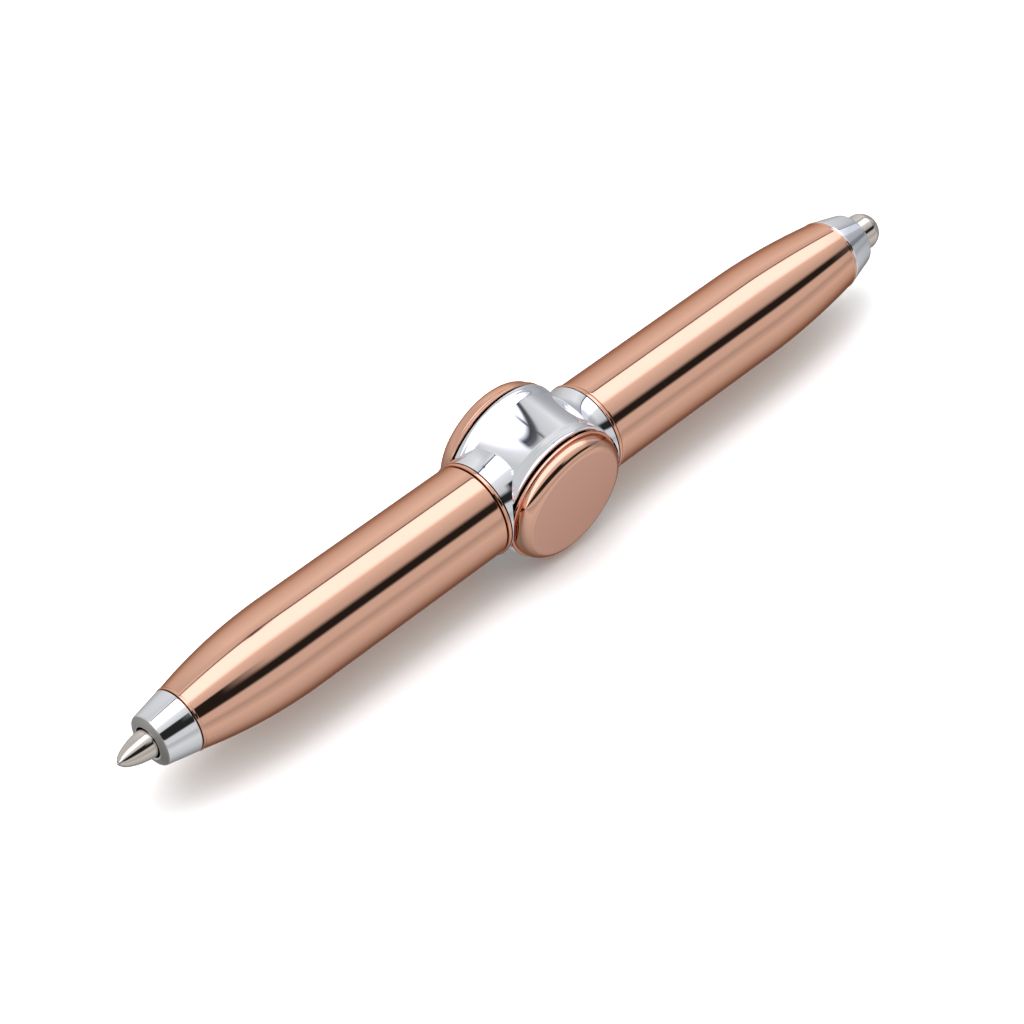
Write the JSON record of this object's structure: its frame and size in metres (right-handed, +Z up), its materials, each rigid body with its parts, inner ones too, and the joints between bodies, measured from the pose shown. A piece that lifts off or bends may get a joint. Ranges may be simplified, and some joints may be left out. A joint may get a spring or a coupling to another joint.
{
  "type": "spinner pen",
  "caption": "Metal click ballpoint pen with a bearing hub at its middle and a finger cap on each side, so that it spins between finger and thumb.",
  "frame": {"origin": "centre of the hub, where the spin axis crosses the pen's axis", "axes": "+X along the pen towards the click button, -X towards the writing point, Y along the spin axis with the near cap on -Y, +Z up"},
  "size_m": [0.1363, 0.0162, 0.019],
  "materials": {
    "rose_gold": "polished rose-gold plating",
    "chrome": "polished",
    "nickel": "polished nickel",
    "steel": "ground",
    "brass": "turned",
    "plastic": "moulded"
  },
  "bodies": {
    "pen": {"hub_housing": "chrome", "front_trim_ring": "rose_gold", "rear_trim_ring": "rose_gold", "front_barrel": "rose_gold", "rear_barrel": "rose_gold", "front_thread_sleeve": "brass", "rear_thread_sleeve": "brass", "nose_cone": "chrome", "tail_collar": "chrome", "cam_sleeve": "plastic", "refill_spring": "steel", "bearing_outer_ring_near": "steel", "snap_ring_near": "steel", "bearing_outer_ring_far": "steel", "snap_ring_far": "steel"},
    "near_cap": {"finger_cap_near": "rose_gold", "cap_axle_near": "steel", "cap_spacer_near": "steel", "bearing_inner_ring_near": "steel"},
    "far_cap": {"finger_cap_far": "rose_gold", "cap_axle_far": "steel", "cap_spacer_far": "steel", "bearing_inner_ring_far": "steel"},
    "near_cage": {"bearing_cage_near": "brass", "bearing_ball_near_1": "steel", "bearing_ball_near_2": "steel", "bearing_ball_near_3": "steel", "bearing_ball_near_4": "steel", "bearing_ball_near_5": "steel", "bearing_ball_near_6": "steel", "bearing_ball_near_7": "steel"},
    "far_cage": {"bearing_cage_far": "brass", "bearing_ball_far_1": "steel", "bearing_ball_far_2": "steel", "bearing_ball_far_3": "steel", "bearing_ball_far_4": "steel", "bearing_ball_far_5": "steel", "bearing_ball_far_6": "steel", "bearing_ball_far_7": "steel"},
    "button": {"click_button": "nickel"},
    "rotor": {"cam_rotor": "plastic"},
    "refill": {"refill_tube": "plastic", "refill_nozzle": "nickel", "tip_ball": "steel"}
  },
  "joints": [
    {"name": "near_cap_spin", "type": "hinge", "parent": "pen", "child": "near_cap", "pos_m": [0, -0.0068, 0], "axis": [0, 1, 0], "continuous": true},
    {"name": "far_cap_spin", "type": "hinge", "parent": "pen", "child": "far_cap", "pos_m": [0, 0.0068, 0], "axis": [0, 1, 0], "continuous": true},
    {"name": "near_cage_spin", "type": "hinge", "parent": "pen", "child": "near_cage", "pos_m": [0, -0.00345, 0], "axis": [0, 1, 0], "continuous": true},
    {"name": "far_cage_spin", "type": "hinge", "parent": "pen", "child": "far_cage", "pos_m": [0, 0.00345, 0], "axis": [0, 1, 0], "continuous": true},
    {"name": "button_slide", "type": "slide", "parent": "pen", "child": "button", "axis": [1, 0, 0], "range_m": [-0.001, 0.005]},
    {"name": "rotor_slide", "type": "slide", "parent": "pen", "child": "rotor", "axis": [1, 0, 0], "range_m": [-0.001, 0.005]},
    {"name": "refill_slide", "type": "slide", "parent": "pen", "child": "refill", "axis": [1, 0, 0], "range_m": [-0.001, 0.005], "deforming": ["refill_spring"]}
  ],
  "couplings": [
    {"joint": "near_cage_spin", "follows": "near_cap_spin", "ratio": 0.4167},
    {"joint": "far_cage_spin", "follows": "far_cap_spin", "ratio": 0.4167},
    {"joint": "rotor_slide", "follows": "button_slide", "ratio": 1},
    {"joint": "refill_slide", "follows": "button_slide", "ratio": 1}
  ]
}
